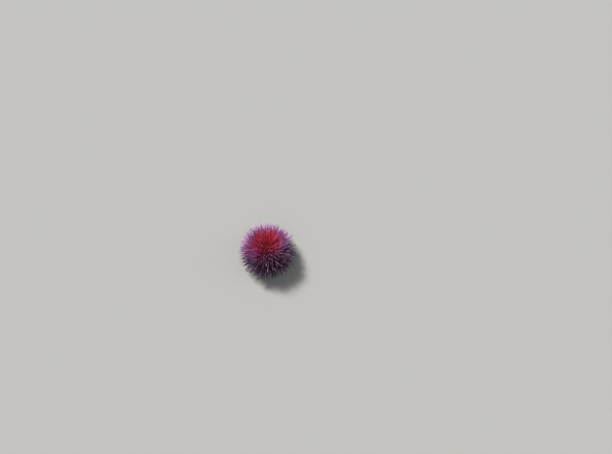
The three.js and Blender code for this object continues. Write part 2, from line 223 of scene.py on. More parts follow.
# Skin: the thin living skin over the limy shell, crimson and moist, drawn up into a boss under each spine
# and sunk a little along the joints of the plates. It turns in at the top plates and at the mouth.
SHELL_RADIUS = 0.027
DOME_HEIGHT = 0.018
BELLY_DEPTH = 0.0105
WIDEST_HEIGHT = 0.017
SHELL_TOP = WIDEST_HEIGHT + DOME_HEIGHT
SIDE_FULLNESS = 0.9
BELLY_FLATNESS = 0.8
POLE_TILT = 0.02
OUTLINE_STEPS = 6000
GAP = 0.0003
RAY_PAIRS = 5
NARROW_HALF = math.radians(14.5)
WIDE_HALF = math.pi / RAY_PAIRS - NARROW_HALF
ROW_STAGGER = 0.22
BOSS_HEIGHT = 0.00045
BOSS_FLAT = 0.45
LONG_BOSS = 0.00112
SHORT_BOSS = 0.00088
JOINTS_AT = (-WIDE_HALF, 0, WIDE_HALF, WIDE_HALF + NARROW_HALF, WIDE_HALF + 2 * NARROW_HALF)
JOINT_DEPTH = 0.00014
JOINT_WIDTH = 0.00022
JOINT_ZIGZAG = 0.0005
PLATE_HEIGHT = 0.0023
SKIN_ROWS = 300
SKIN_COLUMNS = 324
SKIN_SINK = 0.0001
MAP_REACH = 0.49
DARK_FLESH = (0.16, 0.006, 0.016)
BRIGHT_FLESH = (0.30, 0.012, 0.030)
BELLY_TONE_AND_SHADE = (0.07, 0.010, 0.030)
BOSS_FLESH = (0.42, 0.035, 0.075)
JOINT_FLESH = (0.06, 0.004, 0.014)

mouth_low, mouth_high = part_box("mouth_skin")
top_low, top_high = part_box("top_plates")
AXIS = np.array([(mouth_low.x + mouth_high.x) / 2, (mouth_low.y + mouth_high.y) / 2, 0])
MOUTH_RADIUS = (mouth_high.x - mouth_low.x) / 2
MOUTH_EDGE = MOUTH_RADIUS + GAP
MOUTH_TOP = mouth_high.z
TOP_EDGE = (top_high.x - top_low.x) / 2 + GAP
TOP_FLOOR = top_low.z
RAY_NODES = [f"{kind}_ray_{number + 1}" for kind in ("narrow", "wide") for number in range(RAY_PAIRS)]
dice = np.random.default_rng(20)


def unit(vectors):
    """Each vector over its own length."""
    return vectors / np.linalg.norm(vectors, axis=-1, keepdims=True)


def smooth(values, low, high):
    """0 below low, 1 above high and 3 t^2 - 2 t^3 between."""
    share = np.clip((values - low) / (high - low), 0, 1)
    return share * share * (3 - 2 * share)


def bell(distance, width):
    """e to the power -(d / w)^2: 1 at no distance, and next to nothing two widths off."""
    return np.exp(-((distance / width) ** 2))


def even_turns(count):
    """So many angles once round, an even way apart."""
    return 2 * math.pi * np.arange(count) / count


def shell_outline(tilt):
    """Distance from the axis R sin(t)^0.9, and height: the dome's cos(t) above the widest ring, the belly's
    flatter cos(t)^0.8 below it. The tilt t is 0 at the top and pi at the mouth."""
    rise = np.cos(tilt)
    height = np.where(rise > 0, DOME_HEIGHT * rise, -BELLY_DEPTH * np.abs(rise) ** BELLY_FLATNESS)
    return SHELL_RADIUS * np.maximum(0, np.sin(tilt)) ** SIDE_FULLNESS, WIDEST_HEIGHT + height


def polar(distance, azimuth, height):
    """Points at that distance and angle round the axis, that high above the ground."""
    distance, azimuth, height = np.broadcast_arrays(distance, azimuth, height)
    return AXIS + np.stack([distance * np.cos(azimuth), distance * np.sin(azimuth), height], -1)


def shell_frame(tilt, azimuth):
    """Points on the shell, with the outward normal there, the way down the shell and the way round it."""
    step = 1e-3
    r0, z0 = shell_outline(tilt - step)
    r1, z1 = shell_outline(tilt + step)
    out, up = np.moveaxis(unit(np.stack([z0 - z1, r1 - r0], -1)), -1, 0)
    normal = np.stack([out * np.cos(azimuth), out * np.sin(azimuth), up], -1)
    around = np.stack([-np.sin(azimuth), np.cos(azimuth), 0 * azimuth], -1)
    r, z = shell_outline(tilt)
    return polar(r, azimuth, z), normal, np.cross(around, normal), around


fine_tilts = np.linspace(POLE_TILT, math.pi - POLE_TILT, OUTLINE_STEPS)
fine_r, fine_z = shell_outline(fine_tilts)
fine_walked = np.concatenate([[0], np.cumsum(np.hypot(np.diff(fine_r), np.diff(fine_z)))])
upper = fine_tilts < math.pi / 2
EDGE_TILTS = (
    np.interp(TOP_EDGE, fine_r[upper], fine_tilts[upper]),
    np.interp(-MOUTH_EDGE, -fine_r[~upper], fine_tilts[~upper]),
)


def roots(row_gap, column_gap, margin, scatter):
    """Roots in rows an even way apart down the shell's outline, and in each ray of a row an even way apart
    across it, each moved a little at random. The last answer is true for every other one, as on a
    chessboard."""
    ends = np.interp(EDGE_TILTS, fine_tilts, fine_walked) + (margin, -margin)
    steps = round((ends[1] - ends[0]) / row_gap)
    found = []
    for row, tilt in enumerate(np.interp(np.linspace(*ends, steps + 1), fine_walked, fine_tilts)):
        for ray in range(2 * RAY_PAIRS):
            half = NARROW_HALF if ray % 2 else WIDE_HALF
            count = max(1, round(2 * half * float(shell_outline(tilt)[0]) / column_gap))
            column = np.arange(count)
            across = (2 * column + 1 + ROW_STAGGER * (row % 2 - 0.5)) / count - 1
            azimuth = ray * math.pi / RAY_PAIRS + half * across
            found.append(np.stack([0 * azimuth + tilt, azimuth, (column + row) % 2], -1))
    tilt, azimuth, odd = np.concatenate(found).T
    tilt += scatter * row_gap / SHELL_RADIUS * dice.uniform(-0.5, 0.5, len(tilt))
    azimuth += scatter * column_gap / shell_outline(tilt)[0] * dice.uniform(-0.5, 0.5, len(tilt))
    return tilt, azimuth, odd == 0


def unwrapped(tilt, azimuth):
    """A flat map of the shell: the top in the middle, the mouth at the rim, and each ray straight out."""
    reach = MAP_REACH * tilt / math.pi
    return 0.5 + np.stack([reach * np.cos(azimuth), reach * np.sin(azimuth)], -1)


def add_forms(name, rings, ends, shares, bake_place, marks, paint, slot):
    """Joins many closed forms in one piece. Rings holds forms x rings x sides points, each ring running so
    that round x along points outwards. Ends holds each form's two poles, or is None where the last ring
    meets the first. Shares says how far along each ring is. Bake_place gives a corner's place on the flat
    map."""
    forms, ring_count, sides = rings.shape[:3]
    side = np.arange(sides)
    bands = ring_count if ends is None else ring_count - 1
    low, left = [part.ravel() for part in np.meshgrid(np.arange(bands), side, indexing="ij")]
    rows = np.stack([low, low, low + 1, low + 1], -1)
    columns = np.stack([left, left + 1, left + 1, left], -1)
    quads = (rows % ring_count) * sides + columns % sides
    corner_share, corner_round = rows.ravel(), columns.ravel() / sides
    points = rings.reshape(forms, -1, 3)
    triangles = np.zeros((0, 3), int)
    if ends is None:
        shares = np.concatenate([shares, np.ones((forms, 1))], 1)
    else:
        right = (side + 1) % sides
        pole, last = ring_count * sides, (ring_count - 1) * sides
        first_fan = np.stack([0 * side + pole, right, side], -1)
        last_fan = np.stack([0 * side + pole + 1, last + side, last + right], -1)
        triangles = np.concatenate([first_fan, last_fan])
        points = np.concatenate([points, ends], 1)
        first_shares = np.tile([ring_count, 0, 0], sides)
        last_shares = np.tile([ring_count + 1, ring_count - 1, ring_count - 1], sides)
        first_round = np.stack([side + 0.5, side + 1, side], -1).ravel() / sides
        last_round = np.stack([side + 0.5, side, side + 1], -1).ravel() / sides
        corner_share = np.concatenate([corner_share, first_shares, last_shares])
        corner_round = np.concatenate([corner_round, first_round, last_round])
        shares = np.concatenate([shares, np.zeros((forms, 1)), np.ones((forms, 1))], 1)
    number = np.arange(forms)[:, None]
    corners = np.concatenate([quads.ravel(), triangles.ravel()]) + number * points.shape[1]
    lengths = np.concatenate([np.full(len(quads), 4), np.full(len(triangles), 3)])
    starts = np.concatenate([[0], np.cumsum(lengths)[:-1]]) + number * corners.shape[1]
    mesh = bpy.data.meshes.new(name)
    mesh.vertices.add(points.shape[0] * points.shape[1])
    mesh.vertices.foreach_set("co", points.astype(np.float32).ravel())
    mesh.loops.add(corners.size)
    mesh.loops.foreach_set("vertex_index", corners.astype(np.int32).ravel())
    mesh.polygons.add(starts.size)
    mesh.polygons.foreach_set("loop_start", starts.astype(np.int32).ravel())
    mesh.polygons.foreach_set("use_smooth", np.ones(starts.size, bool))
    mesh.update(calc_edges=True)
    mesh.validate()
    form = np.broadcast_to(number, corners.shape)
    turn = np.broadcast_to(corner_round, corners.shape)
    along = shares[:, corner_share]
    maps = {"Form": np.stack([turn, along], -1), "OFBake": bake_place(form, turn, along)}
    for map_name, place in maps.items():
        layer = mesh.uv_layers.new(name=map_name)
        layer.data.foreach_set("uv", place.astype(np.float32).ravel())
    for mark, values in marks.items():
        values = np.broadcast_to(np.asarray(values).reshape(forms, -1), points.shape[:2])
        layer = mesh.attributes.new(mark, "FLOAT", "POINT")
        layer.data.foreach_set("value", values.astype(np.float32).ravel())
    mesh.materials.append(paint)
    piece = bpy.data.objects.new(name, mesh)
    bpy.context.scene.collection.objects.link(piece)
    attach(piece, "root")
    return piece


spine_tilt, spine_azimuth, is_long = roots(row_gap=0.00184, column_gap=0.00200, margin=0.0007, scatter=0.35)
spine_root = shell_frame(spine_tilt, spine_azimuth)[0]
boss_radius = np.where(is_long, LONG_BOSS, SHORT_BOSS)


def nearness(places):
    """The distance to the nearest spine root, as a share of that spine's boss."""
    apart = np.linalg.norm(places[:, None, :] - spine_root[None, :, :], axis=-1)
    return (apart / boss_radius).min(1)


row_walk = np.linspace(*np.interp(EDGE_TILTS, fine_tilts, fine_walked)[::-1], SKIN_ROWS)
row_tilt = np.interp(row_walk, fine_walked, fine_tilts)
skin_tilt, skin_azimuth = np.meshgrid(row_tilt, even_turns(SKIN_COLUMNS), indexing="ij")
skin_place, skin_normal = shell_frame(skin_tilt, skin_azimuth)[:2]
skin_boss = 1 - smooth(np.array([nearness(row) for row in skin_place]), BOSS_FLAT, 1.0)
plate_row = row_walk[:, None] / PLATE_HEIGHT
zigzag = JOINT_ZIGZAG * (4 * np.abs(plate_row % 1 - 0.5) - 1)
in_pair = (skin_azimuth + WIDE_HALF) % (2 * math.pi / RAY_PAIRS) - WIDE_HALF
from_joint = np.min([np.abs(shell_outline(skin_tilt)[0] * (in_pair - at) + zigzag) for at in JOINTS_AT], 0)
from_row = PLATE_HEIGHT * np.abs(plate_row % 1 - 0.5) * 2
skin_joint = bell(np.minimum(from_joint, from_row), JOINT_WIDTH)
skin_rise = BOSS_HEIGHT * skin_boss - JOINT_DEPTH * skin_joint * (1 - skin_boss) - SKIN_SINK
skin_surface = skin_place + skin_normal * skin_rise[..., None]

mouth_ring = polar(MOUTH_EDGE, skin_azimuth[0], MOUTH_TOP + GAP)
top_ring = polar(TOP_EDGE, skin_azimuth[0], TOP_FLOOR - GAP)
skin_rings = np.concatenate([mouth_ring[None], skin_surface, top_ring[None]])[None]
skin_ends = np.array([[polar(0, 0, MOUTH_TOP + GAP), polar(0, 0, TOP_FLOOR - GAP)]])
skin_shares = np.concatenate([[1], row_tilt / math.pi, [0.02]])[None]


def with_rim(values):
    """A mark for the skin's own rows, and 0 for the rings and poles inside the two recesses."""
    rim = np.zeros(SKIN_COLUMNS)
    return np.concatenate([rim, values.ravel(), rim, [0, 0]])


skin_marks = {
    "boss": with_rim(skin_boss),
    "joint": with_rim(skin_joint),
    "tilt": with_rim(skin_tilt / math.pi),
}
skin_paint, start = new_paint("skin_paint")
mottle = start.noise(900, detail=3)
flesh = mottle.step(0.35, 0.7).mix(DARK_FLESH, BRIGHT_FLESH)
# Darker towards the mouth side: partly the belly's own tone, partly painted shade of the underside.
flesh = start.mark("tilt").step(0.42, 0.75).mix(flesh, BELLY_TONE_AND_SHADE)
flesh = (start.mark("boss").step(0.3, 1.0) * 0.75).mix(flesh, BOSS_FLESH)
flesh = (start.mark("joint") * 0.6).mix(flesh, JOINT_FLESH)
skin_height = mottle + 0.5 * start.cells(2600)
finish_paint(start, flesh, 0.56 - 0.12 * mottle, skin_height, depth=0.00014, Coat_Weight=0.12)
skin = add_forms("skin", skin_rings, skin_ends, skin_shares,
                 lambda form, turn, along: unwrapped(along * math.pi, turn * 2 * math.pi),
                 skin_marks, skin_paint, "narrow_ray")
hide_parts(*RAY_NODES)

# Long spines: straight shafts of lime, grooved from end to end and tapering to the tip, each on a ball joint
# with a milled collar. They are crimson at the root and violet further out, with lilac tips.
LONG_SPINE = 0.023
LONG_WIDTH = 0.00055
TOP_SHARE = 0.74
TOP_GROWTH = np.radians((8, 62))
MOUTH_SHARE = 0.38
MOUTH_GROWTH = np.radians((98, 150))
UPRIGHT_SHARE = 0.6
DRIFT = 0.1
FLOOR_CLEARANCE = 0.0005
STANDING_TILT = math.radians(133)
STANDING_SPREAD = 0.35
GROUND_WAYS = 72
ON_GROUND = 1e-5
TIP_MARGIN = 0.0001
PATCH_WIDTH = 0.003
PATCH_LENGTH = 0.009
RED_CAP = np.radians((12, 90))
RED_CAP_FADE = (0.31, 0.06)
# The lit side, as a lean off the top and an azimuth, near where the key light comes from. Spines turned far
# from it are painted dusky violet as painted shade.
LIT_SIDE = np.radians((44, 112))
LIT_SIDE_FADE = (0.33, 0.55)
SHAFT_COLOURS = (
    (0.0, (0.66, 0.030, 0.080)),
    (0.12, (0.56, 0.048, 0.210)),
    (0.40, (0.42, 0.085, 0.350)),
    (0.72, (0.46, 0.190, 0.500)),
)
LILAC_TIP = (0.74, 0.500, 0.740)
# Pale lilac for some spines: partly pale tips, partly painted glints.
PALE_TIP_AND_GLINT = (0.66, 0.450, 0.640)
# Painted shade: the dusky violet of the spines turned away from the key light.
PAINTED_SHADE_VIOLET = (0.040, 0.006, 0.042)
GROOVES = 16
LONG_PROFILE = [
    # from the root, share of what is left of the length, width
    (-0.0008, 0.0, 1.15),
    (0.0003, 0.0, 1.15),
    (0.0006, 0.0, 1.55),
    (0.0009, 0.0, 1.45),
    (0.0013, 0.0, 1.00),
    (0.0013, 0.15, 1.04),
    (0.0013, 0.38, 1.00),
    (0.0013, 0.60, 0.86),
    (0.0013, 0.80, 0.62),
    (0.0013, 0.94, 0.32),
    (0.0013, 0.99, 0.12),
]


def rings_along(line, way, aside, width, sides):
    """Rings of points across each line: at an angle a round it they stand at w (p cos a + q sin a), where p
    and q are square to the line's way and to each other, and p is as near to aside as that allows."""
    p = unit(aside - (aside * way).sum(-1, keepdims=True) * way)
    q = np.cross(way, p)
    angle = even_turns(sides)
    spokes = p[..., None, :] * np.cos(angle)[:, None] + q[..., None, :] * np.sin(angle)[:, None]
    return line[..., None, :] + spokes * width[..., None]


def shafts(root, tip, width, profile, sides):
    """Straight closed shafts from root to tip. A line of the profile is a ring at a + b (length - a) from
    the root, of c times the width. Gives the rings, the poles and how far along the rings are."""
    offset, share, wide = np.array(profile).T
    length = np.linalg.norm(tip - root, axis=-1)[:, None]
    way = unit(tip - root)[:, None, :]
    along = offset + share * (length - offset)
    aside = np.where(np.abs(way[..., 2:]) < 0.9, np.array([0, 0, 1.0]), np.array([1.0, 0, 0]))
    line = root[:, None, :] + way * along[..., None]
    rings = rings_along(line, way, aside, (width[:, None] * wide)[..., None], sides)
    ends = np.stack([line[:, 0], tip], 1)
    return np.maximum(rings, [-1, -1, 0]), ends, np.clip(along / length, 0, 1)


def spine_tips(tilt, azimuth, length, sway):
    """Roots, and tips of spines that lean between square to the shell and straight out from its middle.
    Neighbours drift the same way, by sines of their place, and each is swayed a little at random. A tip that
    would touch the ground is lifted off it, and reaches further out instead."""
    place, normal, down, around = shell_frame(tilt, azimuth)
    fan = unit(place - AXIS - np.array([0, 0, WIDEST_HEIGHT]))
    lean = UPRIGHT_SHARE * normal + (1 - UPRIGHT_SHARE) * fan
    drift = DRIFT * np.sin([5 * azimuth + 4 * tilt + 1, 7 * azimuth - 6 * tilt])[..., None]
    scatter = sway * dice.uniform(-0.5, 0.5, (2, len(tilt), 1))
    lean = unit(lean + (drift + scatter)[0] * down + (drift + scatter)[1] * around)
    lowest = FLOOR_CLEARANCE * dice.uniform(1, 3.4, len(tilt)) - place[:, 2]
    drop = np.maximum(lean[:, 2] * length, lowest)
    level = unit(lean[:, :2]) * np.sqrt(np.maximum(1e-8, length**2 - drop**2))[:, None]
    return place, place + np.concatenate([level, drop[:, None]], 1)


def spine_length(tilt):
    """The longest spine's length at a tilt: shorter at the top, shortest at the mouth."""
    top = TOP_SHARE + (1 - TOP_SHARE) * smooth(tilt, *TOP_GROWTH)
    return LONG_SPINE * top * (1 - (1 - MOUTH_SHARE) * smooth(tilt, *MOUTH_GROWTH))


def paint_spines(name, root_red, shade):
    """Grooved, glossy lime: crimson up to about root_red of the length, and nearly to the tip in the red
    cap, then magenta, violet and lilac. Painted shade makes it dusky violet away from the lit side, and
    some spines grow pale outwards, partly as pale tips and partly as painted glints."""
    paint, start = new_paint(name)
    around, along = start.around_and_along()
    vary, zone, dusk = start.mark("vary"), start.mark("zone"), start.mark("dusk")
    red = root_red + zone.step(*RED_CAP_FADE) * (0.92 - root_red) + 0.2 * (vary - 0.5)
    reach = along.maths("DIVIDE", along - red, 1.0 - red)
    stops = [(place, tuple(shade * part for part in colour)) for place, colour in SHAFT_COLOURS]
    shaft = reach.ramp([*stops, (1.0, LILAC_TIP)])
    deep_root, bright_root = (0.40 * shade, 0.010, 0.026), (0.78 * shade, 0.045 * shade, 0.100 * shade)
    root = along.step(0.0, 0.2).mix(deep_root, bright_root)
    colour = reach.step(-0.05, 0.1).mix(root, shaft)
    # Painted shade: spines turned away from the lit side go dusky violet.
    colour = (dusk.step(*LIT_SIDE_FADE) * 0.93).mix(colour, PAINTED_SHADE_VIOLET)
    # Some spines, at random, grow pale lilac outwards: partly pale tips, partly painted glints.
    colour = (vary.step(0.66, 0.95) * 0.8 * along).mix(colour, PALE_TIP_AND_GLINT)
    groove = start.maths("SINE", around * (2 * math.pi * GROOVES))
    finish_paint(start, colour, 0.42 - 0.1 * vary, groove, depth=0.00004, Coat_Weight=0.2,
                 Coat_Roughness=0.2)
    return paint


def angle_from(tilt, azimuth, lean, towards):
    """The angle, over pi, from the direction that leans so far off the top towards that azimuth."""
    rise = math.sin(lean) * np.sin(tilt) * np.cos(azimuth - towards) + math.cos(lean) * np.cos(tilt)
    return np.arccos(np.clip(rise, -1, 1))[:, None] / math.pi


def grow(name, tilt, azimuth, forms, paint, slot):
    """Adds a piece of many forms that grow from those places on the shell. Each has a small patch of the
    flat map at its own place, pointing out from the top. Each is marked with a random share, and with how
    far it is from the middles of the red cap and of the lit side, which places the painted shade."""
    middle = unwrapped(tilt, azimuth)
    out = np.stack([np.cos(azimuth), np.sin(azimuth)], -1)
    aside = np.stack([-np.sin(azimuth), np.cos(azimuth)], -1)

    def patch(form, turn, along):
        across = PATCH_WIDTH * (turn[..., None] - 0.5) * aside[form]
        return middle[form] + across + PATCH_LENGTH * (along[..., None] - 0.5) * out[form]

    marks = {
        "vary": dice.uniform(0, 1, len(azimuth))[:, None],
        "zone": angle_from(tilt, azimuth, *RED_CAP),
        "dusk": angle_from(tilt, azimuth, *LIT_SIDE),
    }
    return add_forms(name, *forms, patch, marks, paint, slot)


def over_ground_points(places):
    """True where a place is inside the outline of one ray's own points on the ground: in no way round does
    it lie further out than the furthest of them."""
    turn = even_turns(GROUND_WAYS)
    ways = np.stack([np.cos(turn), np.sin(turn)])
    inside = np.zeros(len(places), bool)
    for name in RAY_NODES:
        points = np.array([tuple(vertex.co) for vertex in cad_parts[name].data.vertices])
        furthest = (points[points[:, 2] < ON_GROUND, :2] @ ways).max(0)
        inside |= (places[:, :2] @ ways < furthest - TIP_MARGIN).all(1)
    return inside


tilt, azimuth = spine_tilt[is_long], spine_azimuth[is_long]
length = spine_length(tilt) * dice.uniform(0.86, 1.02, len(tilt))
place, tip = spine_tips(tilt, azimuth, length, sway=0.2)
standing = tilt > STANDING_TILT
spread = shell_outline(tilt)[0] + STANDING_SPREAD * place[:, 2] * dice.uniform(1, 1.3, len(tilt))
below = polar(spread, azimuth, tip[:, 2])
below[:, 2] *= ~over_ground_points(below)
tip = np.where(standing[:, None], below, tip)
width = LONG_WIDTH * dice.uniform(0.85, 1.12, len(tilt)) * np.where(standing, 0.85, 1)
forms = shafts(place, tip, width, LONG_PROFILE, sides=8)
long_paint = paint_spines("long_spine_paint", root_red=0.20, shade=1.0)
grow("long_spines", tilt, azimuth, forms, long_paint, "wide_ray")

# Second spines: finer ones a little over half as long, one between every two long ones. They are of the same
# grooved lime on the same joint and collar, with a blunter tip.
SECOND_SHARE = 0.6
SECOND_WIDTH = 0.00043
SECOND_PROFILE = [
    (-0.0006, 0.0, 1.1),
    (0.0003, 0.0, 1.2),
    (0.0005, 0.0, 1.55),
    (0.0009, 0.0, 1.0),
    (0.0009, 0.35, 0.98),
    (0.0009, 0.65, 0.78),
    (0.0009, 0.88, 0.48),
    (0.0009, 0.98, 0.24),
]
tilt, azimuth = spine_tilt[~is_long], spine_azimuth[~is_long]
length = spine_length(tilt) * SECOND_SHARE * dice.uniform(0.75, 1.2, len(tilt))
place, tip = spine_tips(tilt, azimuth, length, sway=0.2)
width = SECOND_WIDTH * dice.uniform(0.85, 1.12, len(tilt))
forms = shafts(place, tip, width, SECOND_PROFILE, sides=7)
second_paint = paint_spines("second_spine_paint", root_red=0.28, shade=0.8)
grow("second_spines", tilt, azimuth, forms, second_paint, "wide_ray")

# Small spines: a low growth of thin, darker ones of the same lime, all over the skin between the others.
# Each has a narrow collar at its root.
SMALL_LENGTH = 0.0055
SMALL_WIDTH = 0.00026
SMALL_PROFILE = [
    (-0.0004, 0.0, 1.0),
    (0.0003, 0.0, 1.45),
    (0.0006, 0.0, 0.9),
    (0.0006, 0.5, 0.85),
    (0.0006, 0.92, 0.45),
]
tilt, azimuth = roots(row_gap=0.0017, column_gap=0.00165, margin=0.0004, scatter=0.8)[:2]
length = SMALL_LENGTH * spine_length(tilt) / LONG_SPINE * dice.uniform(0.7, 1.35, len(tilt))
place, tip = spine_tips(tilt, azimuth, length, sway=0.5)
width = SMALL_WIDTH * dice.uniform(0.85, 1.15, len(tilt))
forms = shafts(place, tip, width, SMALL_PROFILE, sides=5)
small_paint = paint_spines("small_spine_paint", root_red=0.40, shade=0.62)
grow("small_spines", tilt, azimuth, forms, small_paint, "wide_ray")

# Tube feet: soft ringed tubes, half clear, from the two pore rows of each narrow ray, with a sucker on the
# end. The lower ones stand on the ground, some of them where the solids have theirs, and the upper ones feel
# about in the spines.
FOOT_WIDTH = 0.0003
FOOT_ROOT = 0.001
PORE_ROW = 0.62
STANDING_FEET = [
    # degrees of tilt, how much further out than its root the sole stands
    (118, 0.0065),
    (129, 0.0045),
    (123.5, 0.0056),
    (137, 0.0034),
    (146, 0.0025),
]
SOLID_FEET = 2
FREE_FEET = np.radians(np.arange(36, 113, 6.0))
SUCKER_FROM = 0.95
FREE_SUCKER = 0.62
DARK_STEM = (0.18, 0.025, 0.055)
BRIGHT_STEM = (0.27, 0.060, 0.095)
SUCKER_PINK = (0.32, 0.110, 0.150)
FOOT_PROFILE = [
    # share of the length, width
    (0.0, 1.7),
    (0.05, 1.35),
    (0.13, 1.0),
    (0.22, 1.16),
    (0.31, 0.94),
    (0.40, 1.12),
    (0.49, 0.9),
    (0.58, 1.08),
    (0.67, 0.88),
    (0.76, 1.06),
    (0.85, 0.9),
    (0.93, 1.1),
    (0.955, 1.9),
    (0.975, 2.9),
    (0.99, 3.15),
    (1.0, 3.1),
    (1.0, 2.3),
    (0.985, 1.1),
]


def draw(number, low, high):
    """The same repeatable draw as the solids have, from low to high: the fraction of sin(12.9898 n + 4.137)
    times 43758.5453."""
    return low + (high - low) * (np.sin(number * 12.9898 + 4.137) * 43758.5453 % 1)


def bent_tubes(corners, profile, width, sides):
    """Closed tubes along cubic curves: (1 - t)^3 a + 3 t (1 - t)^2 b + 3 t^2 (1 - t) c + t^3 d, where
    a to d are the curve's four corners. A line of the profile is a ring at that share t of the curve, of
    that many widths across."""
    share, wide = np.array(profile).T
    t = share[:, None]
    a, b, c, d = [corners[:, None, number, :] for number in range(4)]
    line = (1 - t) ** 3 * a + 3 * t * (1 - t) ** 2 * b + 3 * t**2 * (1 - t) * c + t**3 * d
    way = unit((1 - t) ** 2 * (b - a) + 2 * t * (1 - t) * (c - b) + t**2 * (d - c))
    aside = unit(np.cross(d - a, np.array([0, 0, 1.0])) + np.array([1e-6, 0, 0]))
    rings = rings_along(line, way, aside, (width[:, None] * wide)[..., None], sides)
    return np.maximum(rings, [-1, -1, 0]), line[:, [0, -1]], np.broadcast_to(share, line.shape[:2])


def pore_rows(each):
    """So many feet for every pore row: the pair of rays, the side of the narrow ray, the row's azimuth, and
    the foot's number in its row."""
    pair, side, number = np.meshgrid(np.arange(RAY_PAIRS), (-1, 1), np.arange(each), indexing="ij")
    pair, side, number = pair.ravel(), side.ravel(), number.ravel()
    return pair, side, (2 * pair + 1) * math.pi / RAY_PAIRS + side * PORE_ROW * NARROW_HALF, number


foot_paint, start = new_paint("tube_foot_paint")
along = start.around_and_along()[1]
vary = start.mark("vary")
colour = along.step(0.9, 0.97).mix(vary.mix(DARK_STEM, BRIGHT_STEM), SUCKER_PINK)
finish_paint(start, colour, 0.3 + 0.1 * vary, start.noise(3000), depth=0.00005, Subsurface_Weight=0.25,
             Subsurface_Scale=0.001, Coat_Weight=0.4)

pair, side, azimuth, number = pore_rows(len(STANDING_FEET))
degrees, spread = np.array(STANDING_FEET)[number].T
tilt = np.radians(degrees)
spread = (spread + 0.001 * draw(2 * pair + 10 * number + 3 * side + 71, -0.75, 0.75))[:, None]
place, normal = shell_frame(tilt, azimuth)[:2]
turn = np.where(number < SOLID_FEET, 0, -side * dice.uniform(0.045, 0.075, len(number)))
sole = polar(shell_outline(tilt)[0] + spread[:, 0], azimuth + turn, 0)
above = sole + 0.55 * place * [0, 0, 1]
corners = np.stack([place - FOOT_ROOT * normal, place + 0.45 * spread * normal, above, sole], 1)
forms = bent_tubes(corners, FOOT_PROFILE, np.full(len(tilt), FOOT_WIDTH), sides=10)
grow("standing_feet", tilt, azimuth, forms, foot_paint, "narrow_ray")

azimuth, number = pore_rows(len(FREE_FEET))[2:]
tilt = FREE_FEET[number] + dice.uniform(-0.05, 0.05, len(number))
place, normal, down, around = shell_frame(tilt, azimuth)
reach = spine_length(tilt)[:, None] * dice.uniform(0.4, 0.68, (len(tilt), 1))
sway = dice.uniform(-0.3, 0.3, (4, len(tilt), 1)) * reach
knee = place + 0.5 * reach * normal + sway[0] * down + sway[1] * around
end = place + reach * normal + sway[2] * down + sway[3] * around
corners = np.stack([place - FOOT_ROOT * normal, place + 0.3 * reach * normal, knee, end], 1)
free_profile = [(share, wide * (1 if share < SUCKER_FROM else FREE_SUCKER)) for share, wide in FOOT_PROFILE]
forms = bent_tubes(corners, free_profile, FOOT_WIDTH * dice.uniform(0.7, 0.95, len(tilt)), sides=7)
grow("free_feet", tilt, azimuth, forms, foot_paint, "narrow_ray")

# Pincers: tiny three-jawed heads on thin stalks, set among the small spines all over the skin. The stalks
# are soft and crimson, and the jaws are paler.
PINCER_COUNT = 260
PINCER_MARGIN = 0.05
PINCER_SIDES = 6
PINCER_HEAD = 3
PINCER_GROOVE = 0.55
STALK_WIDTH = 0.00011
STALK_CRIMSON = (0.30, 0.06, 0.10)
PINCER_PINK = (0.55, 0.33, 0.36)
PINCER_PROFILE = [
    (-0.0003, 0.0, 1.2),
    (0.0002, 0.0, 1.0),
    (0.0002, 0.66, 1.0),
    (0.0002, 0.74, 2.3),
    (0.0002, 0.86, 3.0),
    (0.0002, 0.96, 1.8),
]
lowest_rise = math.cos(EDGE_TILTS[1] - PINCER_MARGIN)
highest_rise = math.cos(EDGE_TILTS[0] + PINCER_MARGIN)
tilt = np.arccos(dice.uniform(lowest_rise, highest_rise, PINCER_COUNT))
azimuth = dice.uniform(0, 2 * math.pi, PINCER_COUNT)
place, tip = spine_tips(tilt, azimuth, dice.uniform(0.0026, 0.0046, PINCER_COUNT), sway=0.7)
forms = shafts(place, tip, np.full(PINCER_COUNT, STALK_WIDTH), PINCER_PROFILE, PINCER_SIDES)
heads = forms[0][:, PINCER_HEAD:]
middles = heads.mean(2, keepdims=True)
jaws = np.where(np.arange(PINCER_SIDES) % 2, PINCER_GROOVE, 1.0)[:, None]
heads[:] = middles + (heads - middles) * jaws
pincer_paint, start = new_paint("pincer_paint")
along = start.around_and_along()[1]
colour = along.step(0.6, 0.75).mix(STALK_CRIMSON, PINCER_PINK)
finish_paint(start, colour, 0.4, start.noise(4000), depth=0.00003, Coat_Weight=0.2)
grow("pincers", tilt, azimuth, forms, pincer_paint, "narrow_ray")

# Top plates: a ring of limy plates under thin skin, five large ones with a pore each and five small ones
# between them. The first large one is swollen and pierced like a sieve.
TOP_OUTER = TOP_EDGE + 0.0001
TOP_INNER = 0.0022
TOP_CREST = SHELL_TOP - 0.0001
TOP_SLOPE = 0.0006
LARGE_PLATES_AT = 0.0039
SMALL_PLATES_AT = 0.0051
SMALL_PLATE_PULL = 1.35
PLATE_RISE = 0.0003
SIEVE_RISE = 0.0003
PORE_AT = 0.0048
PORE_DEPTH = 0.0003
PORE_WIDTH = 0.0002
TOP_COLUMNS = 180
TOP_ROWS = 44
DARK_PLATE = (0.30, 0.012, 0.024)
BRIGHT_PLATE = (0.46, 0.030, 0.046)
SIEVE_ROSE = (0.52, 0.11, 0.11)
PLATE_JOINT = (0.10, 0.008, 0.016)
PAINTED_PORE_SHADE = (0.03, 0.004, 0.008)


def plated(places, middles, weights=1.0):
    """The nearest plate of each place, and how much further off the next one is, which is 0 at a joint."""
    apart = np.linalg.norm(places[..., None, :] - middles, axis=-1) * weights
    order = np.sort(apart, -1)
    return apart.argmin(-1), order[..., 1] - order[..., 0]


